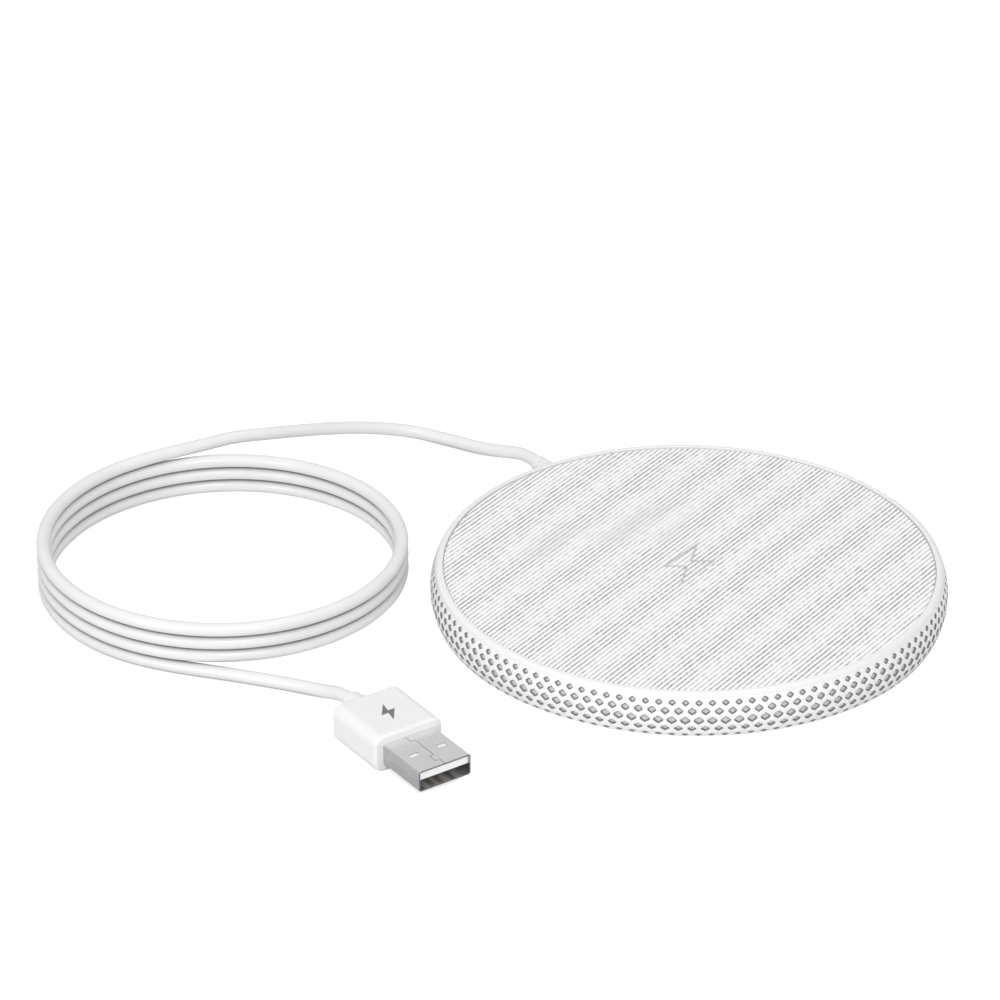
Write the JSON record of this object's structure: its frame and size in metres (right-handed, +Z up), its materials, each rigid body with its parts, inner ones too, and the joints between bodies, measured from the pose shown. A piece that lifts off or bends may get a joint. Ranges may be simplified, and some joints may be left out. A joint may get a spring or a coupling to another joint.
{
  "type": "wireless charging pad",
  "caption": "Round wireless charging pad with a ribbed fabric top, a pitted side band and a captive coiled USB lead.",
  "frame": {"origin": "centre of the pad's footprint, on the surface that it stands on", "axes": "+Z up out of the fabric face; -Y is the front, as the lead leaves at the rear left and lies coiled at -X"},
  "size_m": [0.1871, 0.1471, 0.0127],
  "materials": {
    "white_fabric": "ribbed woven cover, white with light grey grooves",
    "white_gloss": "white moulded plastic, lightly polished",
    "white_satin": "white moulded plastic, satin",
    "white_cord": "white flexible cable jacket",
    "foot_rubber": "grey silicone",
    "film": "translucent adhesive film",
    "label": "blank printed label stock",
    "screw_steel": "zinc-plated steel",
    "litz_copper": "enamelled copper litz wire",
    "ferrite": "pressed ferrite, dark grey",
    "aluminium": "rolled aluminium sheet",
    "thermal_grey": "soft thermal gap filler",
    "sensor": "epoxy bead",
    "board_green": "solder resist on glass fibre",
    "chip_black": "moulded package",
    "ceramic_tan": "ceramic with tinned ends",
    "inductor_grey": "moulded powder core",
    "wire_insulation": "coloured wire insulation",
    "shell_steel": "nickel-plated steel",
    "gold": "gold-plated contacts"
  },
  "bodies": {
    "root": {"fabric_cover": "white_fabric", "fabric_adhesive": "film", "upper_cover": "white_gloss", "side_band": "white_satin", "bottom_housing": "white_satin", "foot_ring": "foot_rubber", "base_label": "label", "housing_screws": "screw_steel", "coil_adhesive": "film", "transmit_coil": "litz_copper", "coil_leads": "litz_copper", "ferrite_disc": "ferrite", "heat_spreader": "aluminium", "thermistor": "sensor", "thermistor_wires": "wire_insulation", "thermal_pad": "thermal_grey", "main_pcb": "board_green", "board_screws": "screw_steel", "controller_chip": "chip_black", "bridge_transistors": "chip_black", "resonant_capacitors": "ceramic_tan", "input_capacitors": "ceramic_tan", "power_inductor": "inductor_grey", "small_passives": "ceramic_tan", "lead_wires": "wire_insulation", "cable_strain_relief": "white_cord", "cord_pad_tail": "white_cord", "cord_coil": "white_cord", "cord_plug_tail": "white_cord", "plug_strain_relief": "white_cord", "plug_body": "white_gloss", "plug_shell": "shell_steel", "plug_tongue": "white_satin", "plug_contacts": "gold"}
  },
  "joints": []
}
